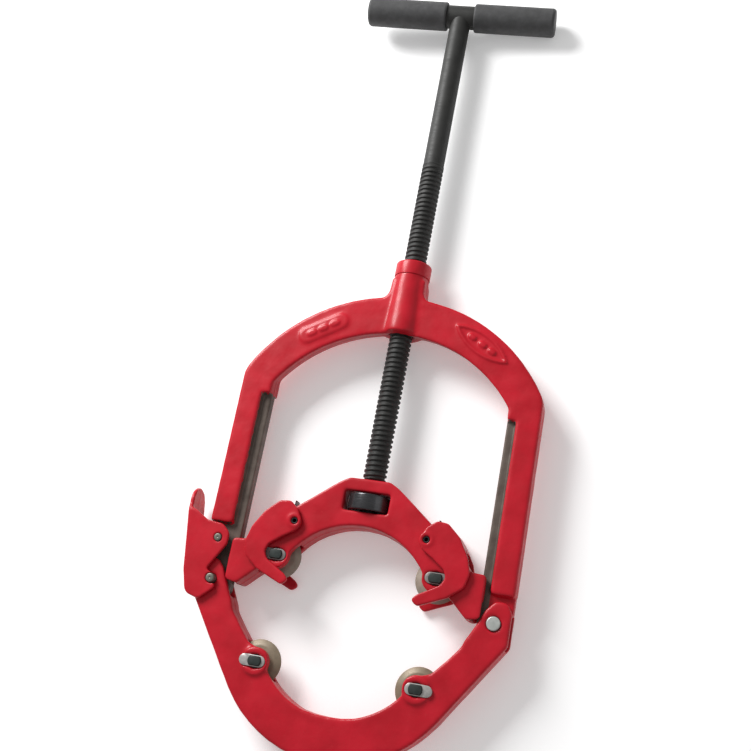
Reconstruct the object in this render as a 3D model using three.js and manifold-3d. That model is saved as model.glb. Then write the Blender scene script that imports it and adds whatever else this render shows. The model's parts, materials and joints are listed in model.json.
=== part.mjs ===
// A hinged four-wheel pipe cutter, in millimetres.
//
// Tool axes, used for every piece: X across the tool, Y along the feed screw towards the handle,
// Z out of the front face. The origin of these axes is on the screw's axis, level with the hinge
// pin, in the middle of the frame's thickness. At the end the tool is laid on its back, with the
// ground at Z = 0 and the origin under the middle of its box.
//
// The pipe lies along Z. Two wheels sit in the lower frame and two in the yoke, which the screw
// pushes along the rails of the main frame.

import * as THREE from 'three';
import { mergeVertices } from 'three/addons/utils/BufferGeometryUtils.js';
import Module from 'manifold-3d';

const wasm = await Module();
wasm.setup();

// ---- driving dimensions ----

const GAP = 0.3; // between pieces that touch or run on each other
const PRESS_GAP = 0.1; // round a pin that is pressed into its bore
const PAST = 1; // how far a cutting solid runs past the face that it cuts

const FRAME_HALF = 10; // half thickness of the two frame castings
const RAIL_HALF = 4.5; // half thickness of the machined rails and tongues
const SLOT_HALF = 4.9; // half width of every slot that takes a rail, a tongue or a wheel
const YOKE_HALF = 12; // half thickness of the sliding yoke
const GUIDE_HALF = 16.5; // half width over a guide's cheeks
const GUIDE_CHEEK = 4; // thickness of a guide's cheek
const LATCH_HALF = 14; // half width over the latch's cheeks
const LATCH_CHEEK = 3.4; // thickness of the latch's cheeks and web

const LEG_OUTER = 120.5; // outer side of a leg, from the screw's axis
const LEG_INNER = 94.8; // inner edge of a rail
const RIB_INNER = 102; // inner side of a leg's full-thickness rib
const RAIL_TOP = 151; // where the rails end under the arch
const LEFT_RIB_END = 44; // lower end of the left leg's rib, above the latch
const RIGHT_RIB_END = 20.5; // lower end of the right leg's rib, above the hinge
const RIB_CORNER = 3.5; // radius of a rib's lower inner corner

const ARCH_OUTER = { y: 106.75, radius: 135.3, shoulder: 20 }; // shoulder: radius between arch and leg
const ARCH_INNER = { y: 97, radius: 113.3, draft: 4.8 }; // draft: how much the radius grows to the back

const HUB = { radius: 15.8, topRadius: 13.9, bottom: 212, top: 262.7 };
const NUT = { radius: 11.3, collarRadius: 14.4, collarTop: 273.4, bottom: 216 };

// Pins along Z: halfLength is from the middle of the frame to either end.
const HINGE = { x: 108, y: 0, pinRadius: 5.1, halfLength: 11 };
const CATCH = { x: -108.5, y: 0, pinRadius: 3.4, halfLength: 14.8 };
const LATCH_PIVOT = { x: -109.5, y: 31, pinRadius: 3, halfLength: 14.7 };
const NOTCH_GAP = 0.5; // round the catch pin in the latch's hook
const LATCH_SPRING = { radius: 5.6, wire: 0.7, bottom: 6.2, top: 9.6, turns: 2 };

const WHEEL = { radius: 17, hubRadius: 8, hubHalf: 4.5, bore: 5.4 };
const WHEEL_SLOT_RADIUS = 18.6;
const LOWER_WHEEL = { x: 60.8, y: -54.2 };
const UPPER_WHEEL = { x: 61.8, y: 25.2 };
const WHEEL_PIN_RADIUS = 5;
const WHEEL_PIN_PROUD = 0.8; // how far a wheel pin stands out at the back
const PIN_HEAD = { half: 3.2, top: 13.6 }; // end of a wheel pin, with two flats milled on it
const KEEPER = { inner: 8, outer: 12.2, half: 4.2, top: 12.1 };
const POCKET_GAP = 0.4; // round a keeper in its pocket
const LOWER_BOSS = { radius: 10.4, top: 12 };
const UPPER_BOSS_RADIUS = 10.6;

const LOWER_INNER = { y: 9, radius: 92.3 }; // inside arc of the lower frame
const LOWER_BOTTOM = { y: -18.9, radius: 65.3 }; // inside arc between the two wheels
const LOWER_OUTER = { y: -19, radius: 96.5, top: -73 }; // outside arc of the lower frame
const YOKE_INNER = { y: -5.8, radius: 61.3 }; // inside arc of the yoke
const EAR_RELIEF = 17.2; // radius that the clevis turns in, inside an ear's cheeks

const GUIDE_PIVOT = { x: 51.2, y: 51.6, pinRadius: 2.5, halfLength: 15.9 };
const GUIDE_SPRING = { half: 0.5, halfWidth: 4 }; // half thickness and half width of the leaf

const WINDOW = { half: 17.6, bottom: 66.3, top: 81.6 };
const COLLAR = { radius: 16.4, bottom: 67.6, top: 80, pinRadius: 2, pinInset: 0.8 };

const SCREW = {
  radius: 9,
  shankRadius: 8.7,
  spindleRadius: 6.5,
  bottom: 61.5,
  spindleTop: 92,
  threadTop: 364,
  top: 509,
};
const HANDLE = { y: 511, barRadius: 9.9, middleHalf: 11.8, halfLength: 81.5 };
const GRIP = { radius: 12.2, cap: 3.2 };
const HANDLE_TURN = 0.064; // the handle's rest angle about the screw, in radians

// ---- materials ----

const RED = { color: 0xb81a26, roughness: 0.38, metalness: 0 };
const BLACK_STEEL = { color: 0x2b2b2c, roughness: 0.5, metalness: 0.8 };
const BRIGHT_STEEL = { color: 0xb4b6b2, roughness: 0.35, metalness: 1 };
const PIN_STEEL = { color: 0x77756c, roughness: 0.45, metalness: 1 };
const WHEEL_STEEL = { color: 0x8c8070, roughness: 0.45, metalness: 1 };
const GRIP_RUBBER = { color: 0x37383a, roughness: 0.8, metalness: 0 };

// ---- solids ----

/** Closed three.js geometry to a manifold solid. */
function toSolid(geometry) {
  const bare = geometry.index ? geometry.toNonIndexed() : geometry.clone();
  bare.deleteAttribute('normal');
  bare.deleteAttribute('uv');
  const merged = mergeVertices(bare, 1e-4);
  const vertProperties = new Float32Array(merged.attributes.position.array);
  const triVerts = new Uint32Array(merged.index.array);
  return new wasm.Manifold(new wasm.Mesh({ numProp: 3, vertProperties, triVerts }));
}

/** Manifold solid back to a three.js geometry. */
function toGeometry(solid) {
  const mesh = solid.getMesh();
  const geometry = new THREE.BufferGeometry();
  geometry.setAttribute('position', new THREE.BufferAttribute(new Float32Array(mesh.vertProperties), 3));
  geometry.setIndex(new THREE.BufferAttribute(new Uint32Array(mesh.triVerts), 1));
  geometry.computeVertexNormals();
  return geometry;
}

/** Flat outline in X and Y, extruded from z0 to z1. */
function plate(shape, z0, z1, curveSegments = 2) {
  const geometry = new THREE.ExtrudeGeometry(shape, { depth: z1 - z0, bevelEnabled: false, curveSegments });
  geometry.translate(0, 0, z0);
  return toSolid(geometry);
}

function box(x0, x1, y0, y1, z0, z1) {
  const geometry = new THREE.BoxGeometry(Math.abs(x1 - x0), y1 - y0, z1 - z0);
  geometry.translate((x0 + x1) / 2, (y0 + y1) / 2, (z0 + z1) / 2);
  return toSolid(geometry);
}

/** Cylinder along Z. */
function rodZ(x, y, radius, z0, z1, segments = 20) {
  const geometry = new THREE.CylinderGeometry(radius, radius, z1 - z0, segments);
  geometry.rotateX(Math.PI / 2);
  geometry.translate(x, y, (z0 + z1) / 2);
  return toSolid(geometry);
}

/** Cylinder on the screw's axis, along Y, or a cone if its top has another radius. */
function rodY(radius, y0, y1, segments = 28, topRadius = radius) {
  const geometry = new THREE.CylinderGeometry(topRadius, radius, y1 - y0, segments);
  geometry.translate(0, (y0 + y1) / 2, 0);
  return toSolid(geometry);
}

/** Cylinder along X, at the height y. */
function rodX(radius, x0, x1, y, segments = 24) {
  const geometry = new THREE.CylinderGeometry(radius, radius, x1 - x0, segments);
  geometry.rotateZ(Math.PI / 2);
  geometry.translate((x0 + x1) / 2, y, 0);
  return toSolid(geometry);
}

function joined(first, ...others) {
  return others.reduce((sum, solid) => sum.add(solid), first);
}

function cut(first, ...others) {
  return others.reduce((rest, solid) => rest.subtract(solid), first);
}

/** Closed outline through corners [x, y, corner radius]. */
function outline(corners) {
  const shape = new THREE.Shape();
  corners.forEach(([x, y, radius = 0], i) => {
    const [px, py] = corners[(i + corners.length - 1) % corners.length];
    const [nx, ny] = corners[(i + 1) % corners.length];
    const here = new THREE.Vector2(x, y);
    const toPrevious = new THREE.Vector2(px, py).sub(here);
    const toNext = new THREE.Vector2(nx, ny).sub(here);
    const room = 0.49 * Math.min(toPrevious.length(), toNext.length());
    toPrevious.normalize();
    toNext.normalize();
    const half = Math.acos(THREE.MathUtils.clamp(toPrevious.dot(toNext), -1, 1)) / 2;
    const tangent = Math.min(radius / Math.tan(half), room);
    const add = i === 0 ? 'moveTo' : 'lineTo';
    if (tangent < 0.05 || Math.abs(Math.cos(half)) < 0.01) {
      shape[add](x, y);
      return;
    }
    const fillet = tangent * Math.tan(half);
    const start = here.clone().addScaledVector(toPrevious, tangent);
    const end = here.clone().addScaledVector(toNext, tangent);
    const middle = toPrevious.clone().add(toNext).normalize();
    const centre = here.clone().addScaledVector(middle, fillet / Math.sin(half));
    const clockwise = toPrevious.cross(toNext) > 0;
    shape[add](start.x, start.y);
    shape.absarc(
      centre.x,
      centre.y,
      fillet,
      Math.atan2(start.y - centre.y, start.x - centre.x),
      Math.atan2(end.y - centre.y, end.x - centre.x),
      clockwise,
    );
  });
  return shape;
}

/** The same corners on the other side of the tool. */
function mirrored(corners) {
  return corners.map(([x, y, radius]) => [-x, y, radius]);
}

/** Corners for one side: 1 is right, -1 is left. */
function onSide(side, corners) {
  return side > 0 ? corners : mirrored(corners);
}

function disc(x, y, radius) {
  const shape = new THREE.Shape();
  shape.absarc(x, y, radius, 0, 2 * Math.PI, false);
  return shape;
}

/** Pill along X, from x0 to x1. */
function pill(x0, x1, y, halfHeight) {
  const shape = new THREE.Shape();
  shape.absarc(x1 - halfHeight, y, halfHeight, -Math.PI / 2, Math.PI / 2, false);
  shape.absarc(x0 + halfHeight, y, halfHeight, Math.PI / 2, (3 * Math.PI) / 2, false);
  return shape;
}

// ---- scene graph ----

const tool = new THREE.Group();

function addPiece(name, geometry, finish, parent = tool) {
  const mesh = new THREE.Mesh(geometry, new THREE.MeshStandardMaterial(finish));
  mesh.name = name;
  parent.add(mesh);
  return mesh;
}

// ---- main frame ----

/** Height where an arc centred on the screw's axis meets the line at x. */
function arcHeight(arc, x) {
  return arc.y + Math.sqrt(arc.radius ** 2 - x ** 2);
}

/** Outside of the legs and the arch, with a round shoulder between them, down to the given foot. */
function archOutside(foot) {
  const { y, radius, shoulder } = ARCH_OUTER;
  const x = LEG_OUTER - shoulder;
  const shoulderY = arcHeight({ y, radius: radius - shoulder }, x);
  const angle = Math.atan2(shoulderY - y, x);
  const shape = new THREE.Shape();
  shape.moveTo(-LEG_OUTER, foot);
  shape.lineTo(LEG_OUTER, foot);
  shape.absarc(x, shoulderY, shoulder, 0, angle, false);
  shape.absarc(0, y, radius, angle, Math.PI - angle, false);
  shape.absarc(-x, shoulderY, shoulder, Math.PI - angle, Math.PI, false);
  return shape;
}

/** Opening between the legs. Under the arch it is cast with draft, so it widens towards the back. */
function makeArchOpening(foot) {
  const { y, radius, draft } = ARCH_INNER;
  const angle = Math.acos(LEG_INNER / radius);
  const shape = new THREE.Shape();
  shape.moveTo(-LEG_INNER, foot);
  shape.lineTo(LEG_INNER, foot);
  shape.absarc(0, y, radius, angle, Math.PI - angle, false);
  const depth = 2 * FRAME_HALF + 2;
  const geometry = new THREE.ExtrudeGeometry(shape, { depth, bevelEnabled: false, curveSegments: 20 });
  geometry.translate(0, 0, -depth / 2);
  const position = geometry.attributes.position;
  for (let i = 0; i < position.count; i += 1) {
    if (position.getY(i) > y) {
      const towardsBack = (FRAME_HALF - position.getZ(i)) / (2 * FRAME_HALF);
      const arc = { y, radius: radius + draft * towardsBack };
      position.setY(i, arcHeight(arc, position.getX(i)));
    }
  }
  return toSolid(geometry);
}

/** What is machined off one face of a leg: the strip beside its rib, and the leg's end below it. */
function railFace(side, below) {
  const ribEnd = side > 0 ? RIGHT_RIB_END : LEFT_RIB_END;
  return [
    [LEG_INNER - PAST, below],
    [LEG_OUTER + PAST, below],
    [LEG_OUTER + PAST, ribEnd],
    [RIB_INNER, ribEnd, RIB_CORNER],
    [RIB_INNER, RAIL_TOP],
    [LEG_INNER - PAST, RAIL_TOP],
  ];
}

function makeMainFrame() {
  const foot = -30;
  const below = foot - PAST;
  const arch = cut(plate(archOutside(foot), -FRAME_HALF, FRAME_HALF, 20), makeArchOpening(below));
  const hub = rodY(HUB.radius, HUB.bottom, HUB.top, 32, HUB.topRadius);
  const shoulder = plate(
    outline([[-36, 232], [36, 232], [14.4, 242.5, 9], [13.6, 258], [-13.6, 258], [-14.4, 242.5, 9]]),
    -FRAME_HALF,
    FRAME_HALF,
  );
  let frame = joined(arch, hub, shoulder);

  // Rails: both faces are machined back beside the rib, and all over below the rib's end.
  const faces = [
    [RAIL_HALF, FRAME_HALF + PAST],
    [-FRAME_HALF - PAST, -RAIL_HALF],
  ];
  for (const [z0, z1] of faces) {
    for (const side of [-1, 1]) {
      frame = cut(frame, plate(outline(onSide(side, railFace(side, below))), z0, z1, 4));
    }
  }

  // Right tongue: a round end about the hinge pin.
  const hingeEnd = outline([
    [LEG_INNER - 5, below],
    [LEG_OUTER + 5, below],
    [LEG_OUTER + 5, 8],
    [HINGE.x + 11, 8],
    [HINGE.x + 11, -11, 10.8],
    [HINGE.x - 11.6, -11, 10.8],
    [LEG_INNER, 4],
    [LEG_INNER - 5, 4],
  ]);
  // Left tongue: it passes the catch pin on the inner side and ends inside the lower frame.
  const catchEnd = outline([
    [-LEG_INNER + 5, below],
    [-LEG_INNER + 5, -6],
    [-LEG_INNER, -6],
    [-LEG_INNER - 2.5, -10.5, 2],
    [CATCH.x + 6.2, -10.5, 1],
    [CATCH.x + 5.2, 4.5, 3],
    [CATCH.x, 7, 3],
    [-LEG_OUTER - 5, 7],
    [-LEG_OUTER - 5, below],
  ]);
  frame = cut(
    frame,
    plate(hingeEnd, -FRAME_HALF, FRAME_HALF),
    plate(catchEnd, -FRAME_HALF, FRAME_HALF),
    rodZ(HINGE.x, HINGE.y, HINGE.pinRadius + PRESS_GAP, -FRAME_HALF, FRAME_HALF, 32),
    rodZ(LATCH_PIVOT.x, LATCH_PIVOT.y, LATCH_PIVOT.pinRadius + GAP, -FRAME_HALF, FRAME_HALF),
    rodY(NUT.radius + GAP, NUT.bottom - GAP, HUB.top + PAST, 28),
    rodY(SCREW.radius + GAP, arcHeight(ARCH_INNER, 0) - PAST, NUT.bottom + PAST, 28),
  );
  return toGeometry(frame);
}

addPiece('main_frame', makeMainFrame(), RED);

/** Threaded bush with a collar on top of the hub. The thread is a plain bore here. */
function makeFeedNut() {
  const bush = rodY(NUT.radius, NUT.bottom, HUB.top + PAST);
  const collar = rodY(NUT.collarRadius, HUB.top + GAP, NUT.collarTop, 32);
  const bore = rodY(SCREW.radius + GAP, NUT.bottom - PAST, NUT.collarTop + PAST);
  return toGeometry(cut(joined(bush, collar), bore));
}

addPiece('feed_nut', makeFeedNut(), RED);

// ---- wheel stations: shapes shared by the lower frame and the yoke ----

/** Pocket for a keeper: longer on the outer side of the pin. */
function pocketShape(x, y, side) {
  const inner = x - side * (KEEPER.inner + POCKET_GAP);
  const outer = x + side * (KEEPER.outer + POCKET_GAP);
  return pill(Math.min(inner, outer), Math.max(inner, outer), y, KEEPER.half + POCKET_GAP);
}

/** Outline of a pin's flattened end, or of the keeper's slot round it. */
function headShape(clearance) {
  const radius = WHEEL_PIN_RADIUS + clearance;
  const angle = Math.asin((PIN_HEAD.half + clearance) / radius);
  const shape = new THREE.Shape();
  shape.absarc(0, 0, radius, -angle, angle, false);
  shape.absarc(0, 0, radius, Math.PI - angle, Math.PI + angle, false);
  return shape;
}

/** Keeper plate round a wheel pin's flattened end, in the axes of its station. */
function makeKeeper(side) {
  const ends = [-side * KEEPER.inner, side * KEEPER.outer];
  const shape = pill(Math.min(...ends), Math.max(...ends), 0, KEEPER.half);
  const body = plate(shape, FRAME_HALF + GAP, KEEPER.top, 4);
  return toGeometry(cut(body, plate(headShape(GAP), FRAME_HALF, KEEPER.top + PAST, 5)));
}

// ---- lower frame ----

/** Upper part of the lower frame on the right: the flank, the clevis eye and the inner side. */
const LOWER_CORNERS = [
  [79.4, -73.8],
  [120.3, -14.5, 5],
  [120.3, 9, 5],
  [115.8, 16.2, 6],
  [107.2, 16.2, 5],
  [101.4, 9.6, 4],
  [99.6, 6, 3],
  [95.4, -3.4, 3],
  [88, -17],
];

/** The flanks run straight into the round bottom; the pipe opening is cut by an arc. */
function makeLowerBody() {
  const outer = LOWER_OUTER;
  const upper = outline([...LOWER_CORNERS, ...mirrored(LOWER_CORNERS).reverse()]);
  const span = outer.radius + PAST;
  const bottom = plate(disc(0, outer.y, outer.radius), -FRAME_HALF, FRAME_HALF, 30).intersect(
    box(-span, span, outer.y - span, outer.top, -FRAME_HALF - PAST, FRAME_HALF + PAST),
  );
  const opening = disc(0, LOWER_INNER.y, LOWER_INNER.radius);
  return cut(
    joined(plate(upper, -FRAME_HALF, FRAME_HALF), bottom),
    plate(opening, -FRAME_HALF - PAST, FRAME_HALF + PAST, 30),
  );
}

/** Slot round a tongue's end at one side's pin, open upwards and outwards. */
function clevisSlot(side, pin) {
  const corners = onSide(side, [
    [Math.abs(pin.x) - 22, 30],
    [Math.abs(pin.x) - 22, -7],
    [Math.abs(pin.x) - 11, -12.6, 6],
    [Math.abs(pin.x), -12.6],
    [Math.abs(pin.x) + 20, -21],
    [Math.abs(pin.x) + 20, 30],
  ]);
  return plate(outline(corners), -SLOT_HALF, SLOT_HALF);
}

/** Web that thickens the frame beside a wheel and carries its boss. */
function bossBlend(side) {
  const corners = onSide(side, [
    [91.9, -9.8],
    [87.4, -20, 20],
    [78.6, -31, 20],
    [69.5, -41.5, 6],
    [58, -45.5],
    [40, -60],
    [14, -70],
    [14, -86],
    [30, -86],
    [66, -72],
    [92, -40],
    [98, -12],
  ]);
  return cut(
    plate(outline(corners), -FRAME_HALF, FRAME_HALF),
    plate(disc(0, LOWER_BOTTOM.y, LOWER_BOTTOM.radius), -FRAME_HALF - PAST, FRAME_HALF + PAST, 30),
  );
}

function makeLowerFrame() {
  let frame = makeLowerBody();
  for (const side of [-1, 1]) {
    const x = side * LOWER_WHEEL.x;
    const y = LOWER_WHEEL.y;
    frame = joined(
      frame,
      bossBlend(side),
      rodZ(x, y, LOWER_BOSS.radius, -FRAME_HALF, LOWER_BOSS.top, 28),
    );
    frame = cut(
      frame,
      rodZ(x, y, WHEEL_SLOT_RADIUS, -SLOT_HALF, SLOT_HALF, 30),
      rodZ(x, y, WHEEL_PIN_RADIUS + GAP, -FRAME_HALF - PAST, LOWER_BOSS.top + PAST),
      plate(pocketShape(x, y, side), FRAME_HALF, LOWER_BOSS.top + PAST, 4),
    );
  }
  frame = cut(
    frame,
    clevisSlot(1, HINGE),
    clevisSlot(-1, CATCH),
    rodZ(HINGE.x, HINGE.y, HINGE.pinRadius + GAP, -FRAME_HALF - PAST, FRAME_HALF + PAST, 32),
    rodZ(CATCH.x, CATCH.y, CATCH.pinRadius + GAP, -FRAME_HALF - PAST, FRAME_HALF + PAST),
  );
  return toGeometry(frame);
}

addPiece('lower_frame', makeLowerFrame(), RED);

function makePin(pin, segments = 24) {
  return toGeometry(rodZ(pin.x, pin.y, pin.pinRadius, -pin.halfLength, pin.halfLength, segments));
}

addPiece('hinge_pin', makePin(HINGE), BRIGHT_STEEL);
addPiece('latch_catch_pin', makePin(CATCH), PIN_STEEL);

// ---- latch ----

/** Outer edge of the web, from the hook up to the tip of the thumb tab. */
const WEB_EDGE = [
  [-127.6, -9],
  [-131.8, 3],
  [-139, 50],
  [-140.6, 69],
];

/** Lower part of both cheeks: the hook, the mouth for the catch pin and the pivot's eye. */
const CHEEK_HOOK = [
  [-131.8, 3, 12],
  [-127, -13.5, 7],
  [-115, -17, 4],
  [-104, -7, 1.5],
  [-104.4, -CATCH.pinRadius - NOTCH_GAP],
  [-108, CATCH.pinRadius + NOTCH_GAP],
  [-113.6, 6, 2],
  [-101.2, 27, 4],
  [-101.2, 36, 6],
  [-108, 42, 6],
];

const FRONT_CHEEK_TOP = [
  [-121, 43.4, 8],
  [-131, 49.5, 5],
  [-138.9, 53, 1],
];

const BACK_CHEEK_TOP = [
  [-119, 36, 6],
  [-136.6, 33, 1],
];

/** Everything inside the lever's outline seen along X, which narrows to a round tip at the thumb tab. */
function tabEnvelope() {
  const tipRadius = 12.6;
  const tipCentre = WEB_EDGE.at(-1)[1] - tipRadius;
  const side = LATCH_HALF + PAST;
  const foot = -20;
  const taperFoot = 44;
  const shape = new THREE.Shape();
  shape.moveTo(-side, foot);
  shape.lineTo(side, foot);
  shape.lineTo(side, taperFoot);
  shape.absarc(0, tipCentre, tipRadius, 0, Math.PI, false);
  shape.lineTo(-side, taperFoot);
  const depth = 60;
  const geometry = new THREE.ExtrudeGeometry(shape, { depth, bevelEnabled: false, curveSegments: 10 });
  geometry.rotateY(-Math.PI / 2);
  geometry.translate(-LEG_INNER, 0, 0);
  return toSolid(geometry);
}

function makeLatch() {
  const frontCheek = outline([...CHEEK_HOOK, ...FRONT_CHEEK_TOP]);
  const backCheek = outline([...CHEEK_HOOK, ...BACK_CHEEK_TOP]);
  const webInner = WEB_EDGE.map(([x, y]) => [x + LATCH_CHEEK, y]).reverse();
  const web = plate(outline([...WEB_EDGE, ...webInner]), -LATCH_HALF, LATCH_HALF);

  const inside = LATCH_HALF - LATCH_CHEEK;
  const lever = joined(
    plate(frontCheek, inside, LATCH_HALF),
    plate(backCheek, -LATCH_HALF, -inside),
    web,
  ).intersect(tabEnvelope());
  const reach = LATCH_HALF + PAST;
  const notchRadius = CATCH.pinRadius + NOTCH_GAP;
  const notch = joined(
    rodZ(CATCH.x, CATCH.y, notchRadius, -reach, reach, 24),
    box(CATCH.x, CATCH.x + 12, -notchRadius, notchRadius, -reach, reach),
  );
  const pivotHole = rodZ(LATCH_PIVOT.x, LATCH_PIVOT.y, LATCH_PIVOT.pinRadius + GAP, -reach, reach);
  return toGeometry(cut(lever, notch, pivotHole));
}

addPiece('latch_lever', makeLatch(), RED);
addPiece('latch_pivot_pin', makePin(LATCH_PIVOT), PIN_STEEL);

/** Coil spring round the latch's pivot, as one closed tube. */
function makeLatchSpring() {
  const { x, y } = LATCH_PIVOT;
  const { radius, wire, bottom, top, turns } = LATCH_SPRING;
  const points = [];
  const steps = 12 * turns;
  for (let i = 0; i <= steps; i += 1) {
    const angle = (i / steps) * turns * 2 * Math.PI;
    const z = THREE.MathUtils.lerp(bottom, top, i / steps);
    points.push(new THREE.Vector3(x + radius * Math.cos(angle), y + radius * Math.sin(angle), z));
  }
  const path = new THREE.CatmullRomCurve3(points);
  const geometry = new THREE.ExtrudeGeometry(disc(0, 0, wire), {
    steps,
    extrudePath: path,
    bevelEnabled: false,
    curveSegments: 4,
  });
  return toGeometry(toSolid(geometry));
}

addPiece('latch_spring', makeLatchSpring(), BRIGHT_STEEL);

// ---- sliding yoke ----

const YOKE_CORNERS = [
  [15.5, 91.6, 5],
  [23, 87.4, 12],
  [80, 42.4, 6],
  [86.6, 33.8, 2],
  [98.4, 33.2, 3],
  [98.4, 1, 4],
  [88.2, -0.6, 4],
  [73.4, 13.2, 5],
  [57, 18],
];

function makeYoke() {
  const body = outline([...YOKE_CORNERS, ...mirrored(YOKE_CORNERS).reverse()]);
  let yoke = cut(
    plate(body, -YOKE_HALF, YOKE_HALF),
    plate(disc(0, YOKE_INNER.y, YOKE_INNER.radius), -YOKE_HALF - PAST, YOKE_HALF + PAST, 24),
  );
  const reach = YOKE_HALF + PAST;
  for (const side of [-1, 1]) {
    const x = side * UPPER_WHEEL.x;
    const y = UPPER_WHEEL.y;
    yoke = joined(yoke, rodZ(x, y, UPPER_BOSS_RADIUS, -YOKE_HALF, YOKE_HALF, 28));
    yoke = cut(
      yoke,
      rodZ(x, y, WHEEL_SLOT_RADIUS, -SLOT_HALF, SLOT_HALF, 30),
      rodZ(x, y, WHEEL_PIN_RADIUS + GAP, -reach, reach),
      plate(pocketShape(x, y, side), FRAME_HALF, reach, 4),
      rodZ(side * GUIDE_PIVOT.x, GUIDE_PIVOT.y, GUIDE_PIVOT.pinRadius + GAP, -reach, reach),
      box(side * (LEG_INNER - 0.6), side * LEG_OUTER, -10, 40, -SLOT_HALF, SLOT_HALF),
      // Relief inside the ear's cheeks, which the clevis turns in when the lower frame opens.
      rodZ(side * HINGE.x, HINGE.y, EAR_RELIEF, -FRAME_HALF - GAP, FRAME_HALF + GAP, 40),
    );
  }
  yoke = cut(
    yoke,
    box(-WINDOW.half, WINDOW.half, WINDOW.bottom, WINDOW.top, -reach, reach),
    rodY(SCREW.spindleRadius + GAP, SCREW.bottom - PAST, SCREW.spindleTop, 24),
  );
  return toGeometry(yoke);
}

addPiece('slide_yoke', makeYoke(), RED);

// ---- pipe guides ----

const GUIDE_CORNERS = [
  [44.6, 50, 5],
  [50, 60.8, 5],
  [57, 66.4, 3],
  [65.5, 65.6, 4],
  [75.6, 56.4, 8],
  [83.6, 43, 10],
  [87, 31, 8],
  [84.2, 20.6, 7],
  [72.5, 11.6, 6],
  [52.2, 2.8, 2.6],
  [46.8, 6.8, 2.6],
  [50.4, 10.9, 1],
  [66.6, 20.4, 4],
  [69.6, 26, 4],
  [67.4, 31.6, 3],
  [58, 38.6, 2],
  [48.6, 44.6, 4],
];

const GUIDE_WEB_CORNERS = [
  [60.4, 66.1],
  [65.5, 65.6, 4],
  [75.6, 56.4, 6],
  [80, 49.1],
  [76.6, 47.9],
  [72.6, 53.4, 4],
  [64.4, 61.2, 2],
  [60.8, 61.8],
];

function makeGuide(side) {
  const cheek = outline(onSide(side, GUIDE_CORNERS));
  const web = outline(onSide(side, GUIDE_WEB_CORNERS));
  const inside = GUIDE_HALF - GUIDE_CHEEK;
  const guide = joined(
    plate(cheek, inside, GUIDE_HALF),
    plate(cheek, -GUIDE_HALF, -inside),
    plate(web, -GUIDE_HALF, GUIDE_HALF),
  );
  const reach = GUIDE_HALF + PAST;
  const hole = rodZ(side * GUIDE_PIVOT.x, GUIDE_PIVOT.y, GUIDE_PIVOT.pinRadius + GAP, -reach, reach);
  return toGeometry(cut(guide, hole));
}

/** Bowed leaf spring between the arm and the guide's web. */
function makeGuideSpring(side) {
  const line = new THREE.CatmullRomCurve3(
    [
      [56.6, 69.2],
      [57.4, 64.6],
      [60.6, 59.9],
      [68.8, 53.5],
      [77.8, 45.2],
    ].map(([x, y]) => new THREE.Vector3(side * x, y, 0)),
  );
  const { half, halfWidth } = GUIDE_SPRING;
  const steps = 14;
  const upper = [];
  const lower = [];
  for (let i = 0; i <= steps; i += 1) {
    const point = line.getPoint(i / steps);
    const tangent = line.getTangent(i / steps);
    upper.push(new THREE.Vector2(point.x - tangent.y * half, point.y + tangent.x * half));
    lower.push(new THREE.Vector2(point.x + tangent.y * half, point.y - tangent.x * half));
  }
  return toGeometry(plate(new THREE.Shape([...upper, ...lower.reverse()]), -halfWidth, halfWidth));
}

for (const [word, side] of [['left', -1], ['right', 1]]) {
  const pin = { ...GUIDE_PIVOT, x: side * GUIDE_PIVOT.x };
  addPiece(`guide_${word}`, makeGuide(side), RED);
  addPiece(`guide_pin_${word}`, makePin(pin, 20), BLACK_STEEL);
  addPiece(`guide_spring_${word}`, makeGuideSpring(side), BLACK_STEEL);
}

// ---- cutting wheels, their pins and keepers ----

function makeWheel() {
  const half = [
    [WHEEL.bore, WHEEL.hubHalf],
    [WHEEL.hubRadius, WHEEL.hubHalf],
    [WHEEL.hubRadius + 0.5, 2.4],
    [12.5, 1.9],
    [WHEEL.radius, 0.15],
  ];
  const front = half.map(([radius, z]) => new THREE.Vector2(radius, z));
  const back = half.map(([radius, z]) => new THREE.Vector2(radius, -z)).reverse();
  const profile = [...front, ...back, front[0].clone()].reverse();
  const geometry = new THREE.LatheGeometry(profile, 32);
  geometry.rotateX(Math.PI / 2);
  return toGeometry(toSolid(geometry));
}

/** Pin with a flattened end that stands in the keeper's slot. */
function makeWheelPin(backEnd) {
  const shaft = rodZ(0, 0, WHEEL_PIN_RADIUS, backEnd, FRAME_HALF);
  return toGeometry(joined(shaft, plate(headShape(0), FRAME_HALF - PAST, PIN_HEAD.top, 5)));
}

const STATIONS = [
  ['lower', LOWER_WHEEL, -FRAME_HALF - WHEEL_PIN_PROUD],
  ['upper', UPPER_WHEEL, -YOKE_HALF - WHEEL_PIN_PROUD],
];

for (const [row, centre, backEnd] of STATIONS) {
  for (const [word, side] of [['left', -1], ['right', 1]]) {
    const station = new THREE.Group();
    station.position.set(side * centre.x, centre.y, 0);
    tool.add(station);
    addPiece(`cutter_wheel_${row}_${word}`, makeWheel(), WHEEL_STEEL, station);
    addPiece(`wheel_pin_${row}_${word}`, makeWheelPin(backEnd), BLACK_STEEL, station);
    addPiece(`pin_keeper_${row}_${word}`, makeKeeper(side), BRIGHT_STEEL, station);
  }
}

// ---- feed screw and T-handle, turned together to the handle's rest angle ----

const screwGroup = new THREE.Group();
screwGroup.rotation.y = HANDLE_TURN;
tool.add(screwGroup);

/** Round bar across the middle of the collar. */
function collarRod(radius, reach) {
  return rodX(radius, -reach, reach, (COLLAR.bottom + COLLAR.top) / 2, 16);
}

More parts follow.
